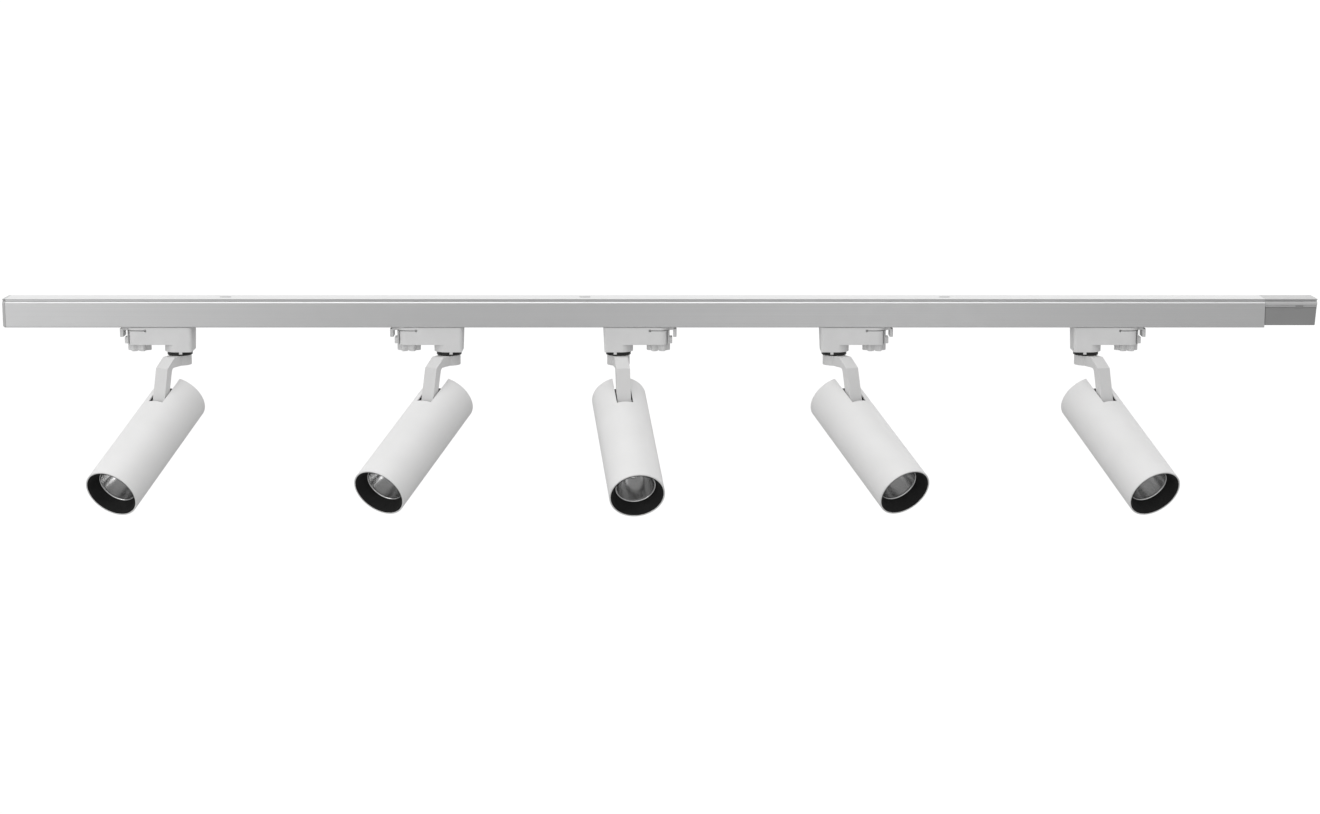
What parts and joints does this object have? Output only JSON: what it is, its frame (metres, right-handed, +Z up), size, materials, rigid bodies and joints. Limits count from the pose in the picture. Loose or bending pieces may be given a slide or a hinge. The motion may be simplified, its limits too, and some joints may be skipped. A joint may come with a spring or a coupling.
{
  "type": "track light",
  "caption": "Ceiling track light: a straight multi-circuit rail with an end cap and a live-end feed, carrying cylindrical spotlights that slide, swivel and tilt on lever-locked adapters.",
  "frame": {"origin": "centre of the track's top face, which lies on the ceiling", "axes": "+X along the track towards the feed, +Z up into the ceiling; the lamps shine down towards -Y"},
  "size_m": [1.5655, 0.1889, 0.2383],
  "materials": {
    "anodised_aluminium": "silver anodised, fine drawn grain",
    "insulator_plastic": "ivory, moulded",
    "copper": "drawn copper",
    "track_plastic": "silver grey, fine moulded grain",
    "cover_plastic": "mid grey, fine moulded grain",
    "adapter_plastic": "light grey, fine moulded grain",
    "black_plastic": "black, moulded",
    "white_paint": "white powder coat, satin",
    "baffle_black": "matt black, fine",
    "reflector_aluminium": "bright polished",
    "cast_aluminium": "black, cast",
    "steel": "turned"
  },
  "bodies": {
    "track": {"track_rail": "anodised_aluminium", "insulator_front": "insulator_plastic", "insulator_rear": "insulator_plastic", "conductor_line_1": "copper", "conductor_line_2": "copper", "conductor_line_3": "copper", "conductor_neutral": "copper", "end_cap": "track_plastic", "feed_housing": "track_plastic", "feed_cover": "cover_plastic"},
    "adapter_1": {"adapter_housing_1": "adapter_plastic"},
    "lever_1": {"lock_lever_1": "adapter_plastic"},
    "selector_1": {"circuit_selector_1": "adapter_plastic"},
    "swivel_1": {"swivel_ring_1": "black_plastic", "arm_1": "white_paint"},
    "spot_1": {"spot_tube_1": "white_paint", "baffle_1": "baffle_black", "reflector_1": "reflector_aluminium", "heat_sink_1": "cast_aluminium", "tilt_pin_1": "steel"},
    "adapter_2": {"adapter_housing_2": "adapter_plastic"},
    "lever_2": {"lock_lever_2": "adapter_plastic"},
    "selector_2": {"circuit_selector_2": "adapter_plastic"},
    "swivel_2": {"swivel_ring_2": "black_plastic", "arm_2": "white_paint"},
    "spot_2": {"spot_tube_2": "white_paint", "baffle_2": "baffle_black", "reflector_2": "reflector_aluminium", "heat_sink_2": "cast_aluminium", "tilt_pin_2": "steel"},
    "adapter_3": {"adapter_housing_3": "adapter_plastic"},
    "lever_3": {"lock_lever_3": "adapter_plastic"},
    "selector_3": {"circuit_selector_3": "adapter_plastic"},
    "swivel_3": {"swivel_ring_3": "black_plastic", "arm_3": "white_paint"},
    "spot_3": {"spot_tube_3": "white_paint", "baffle_3": "baffle_black", "reflector_3": "reflector_aluminium", "heat_sink_3": "cast_aluminium", "tilt_pin_3": "steel"},
    "adapter_4": {"adapter_housing_4": "adapter_plastic"},
    "lever_4": {"lock_lever_4": "adapter_plastic"},
    "selector_4": {"circuit_selector_4": "adapter_plastic"},
    "swivel_4": {"swivel_ring_4": "black_plastic", "arm_4": "white_paint"},
    "spot_4": {"spot_tube_4": "white_paint", "baffle_4": "baffle_black", "reflector_4": "reflector_aluminium", "heat_sink_4": "cast_aluminium", "tilt_pin_4": "steel"},
    "adapter_5": {"adapter_housing_5": "adapter_plastic"},
    "lever_5": {"lock_lever_5": "adapter_plastic"},
    "selector_5": {"circuit_selector_5": "adapter_plastic"},
    "swivel_5": {"swivel_ring_5": "black_plastic", "arm_5": "white_paint"},
    "spot_5": {"spot_tube_5": "white_paint", "baffle_5": "baffle_black", "reflector_5": "reflector_aluminium", "heat_sink_5": "cast_aluminium", "tilt_pin_5": "steel"}
  },
  "joints": [
    {"name": "adapter_slide_1", "type": "slide", "parent": "track", "child": "adapter_1", "axis": [1, 0, 0], "range_m": [-0.125, 0.11]},
    {"name": "lever_turn_1", "type": "hinge", "parent": "adapter_1", "child": "lever_1", "pos_m": [-0.5946, 0, -0.035], "axis": [0, 0, -1], "range_deg": [0, 90]},
    {"name": "selector_turn_1", "type": "hinge", "parent": "adapter_1", "child": "selector_1", "pos_m": [-0.5946, 0, -0.056], "axis": [0, 0, -1], "range_deg": [0, 180]},
    {"name": "swivel_turn_1", "type": "hinge", "parent": "adapter_1", "child": "swivel_1", "pos_m": [-0.5466, 0, -0.065], "axis": [0, 0, 1], "range_deg": [-152.7, 197.3]},
    {"name": "spot_tilt_1", "type": "hinge", "parent": "swivel_1", "child": "spot_1", "pos_m": [-0.56386, -0.0421, -0.1195], "axis": [-0.9252, 0.3795, 0], "range_deg": [-45, 30]},
    {"name": "adapter_slide_2", "type": "slide", "parent": "track", "child": "adapter_2", "axis": [1, 0, 0], "range_m": [-0.11, 0.078]},
    {"name": "lever_turn_2", "type": "hinge", "parent": "adapter_2", "child": "lever_2", "pos_m": [-0.2714, 0, -0.035], "axis": [0, 0, -1], "range_deg": [0, 90]},
    {"name": "selector_turn_2", "type": "hinge", "parent": "adapter_2", "child": "selector_2", "pos_m": [-0.2714, 0, -0.056], "axis": [0, 0, -1], "range_deg": [0, 180]},
    {"name": "swivel_turn_2", "type": "hinge", "parent": "adapter_2", "child": "swivel_2", "pos_m": [-0.2234, 0, -0.065], "axis": [0, 0, 1], "range_deg": [-146.8, 203.2]},
    {"name": "spot_tilt_2", "type": "hinge", "parent": "swivel_2", "child": "spot_2", "pos_m": [-0.2449, -0.0401, -0.1195], "axis": [-0.8813, 0.4726, 0], "range_deg": [-45, 30]},
    {"name": "adapter_slide_3", "type": "slide", "parent": "track", "child": "adapter_3", "axis": [1, 0, 0], "range_m": [-0.078, 0.08]},
    {"name": "lever_turn_3", "type": "hinge", "parent": "adapter_3", "child": "lever_3", "pos_m": [0.0277, 0, -0.035], "axis": [0, 0, 1], "range_deg": [0, 90]},
    {"name": "selector_turn_3", "type": "hinge", "parent": "adapter_3", "child": "selector_3", "pos_m": [0.0277, 0, -0.056], "axis": [0, 0, 1], "range_deg": [0, 180]},
    {"name": "swivel_turn_3", "type": "hinge", "parent": "adapter_3", "child": "swivel_3", "pos_m": [-0.0203, 0, -0.065], "axis": [0, 0, 1], "range_deg": [-183.8, 166.2]},
    {"name": "spot_tilt_3", "type": "hinge", "parent": "swivel_3", "child": "spot_3", "pos_m": [-0.01334, -0.04496, -0.1195], "axis": [-0.9882, -0.153, 0], "range_deg": [-45, 30]},
    {"name": "adapter_slide_4", "type": "slide", "parent": "track", "child": "adapter_4", "axis": [1, 0, 0], "range_m": [-0.08, 0.1]},
    {"name": "lever_turn_4", "type": "hinge", "parent": "adapter_4", "child": "lever_4", "pos_m": [0.2866, 0, -0.035], "axis": [0, 0, 1], "range_deg": [0, 90]},
    {"name": "selector_turn_4", "type": "hinge", "parent": "adapter_4", "child": "selector_4", "pos_m": [0.2866, 0, -0.056], "axis": [0, 0, 1], "range_deg": [0, 180]},
    {"name": "swivel_turn_4", "type": "hinge", "parent": "adapter_4", "child": "swivel_4", "pos_m": [0.2386, 0, -0.065], "axis": [0, 0, 1], "range_deg": [-204, 146]},
    {"name": "spot_tilt_4", "type": "hinge", "parent": "swivel_4", "child": "spot_4", "pos_m": [0.26066, -0.03979, -0.1195], "axis": [-0.8746, -0.4848, 0], "range_deg": [-45, 30]},
    {"name": "adapter_slide_5", "type": "slide", "parent": "track", "child": "adapter_5", "axis": [1, 0, 0], "range_m": [-0.1, 0.11]},
    {"name": "lever_turn_5", "type": "hinge", "parent": "adapter_5", "child": "lever_5", "pos_m": [0.5888, 0, -0.035], "axis": [0, 0, 1], "range_deg": [0, 90]},
    {"name": "selector_turn_5", "type": "hinge", "parent": "adapter_5", "child": "selector_5", "pos_m": [0.5888, 0, -0.056], "axis": [0, 0, 1], "range_deg": [0, 180]},
    {"name": "swivel_turn_5", "type": "hinge", "parent": "adapter_5", "child": "swivel_5", "pos_m": [0.5408, 0, -0.065], "axis": [0, 0, 1], "range_deg": [-198.5, 151.5]},
    {"name": "spot_tilt_5", "type": "hinge", "parent": "swivel_5", "child": "spot_5", "pos_m": [0.55894, -0.04173, -0.1195], "axis": [-0.9171, -0.3987, 0], "range_deg": [-45, 30]}
  ]
}
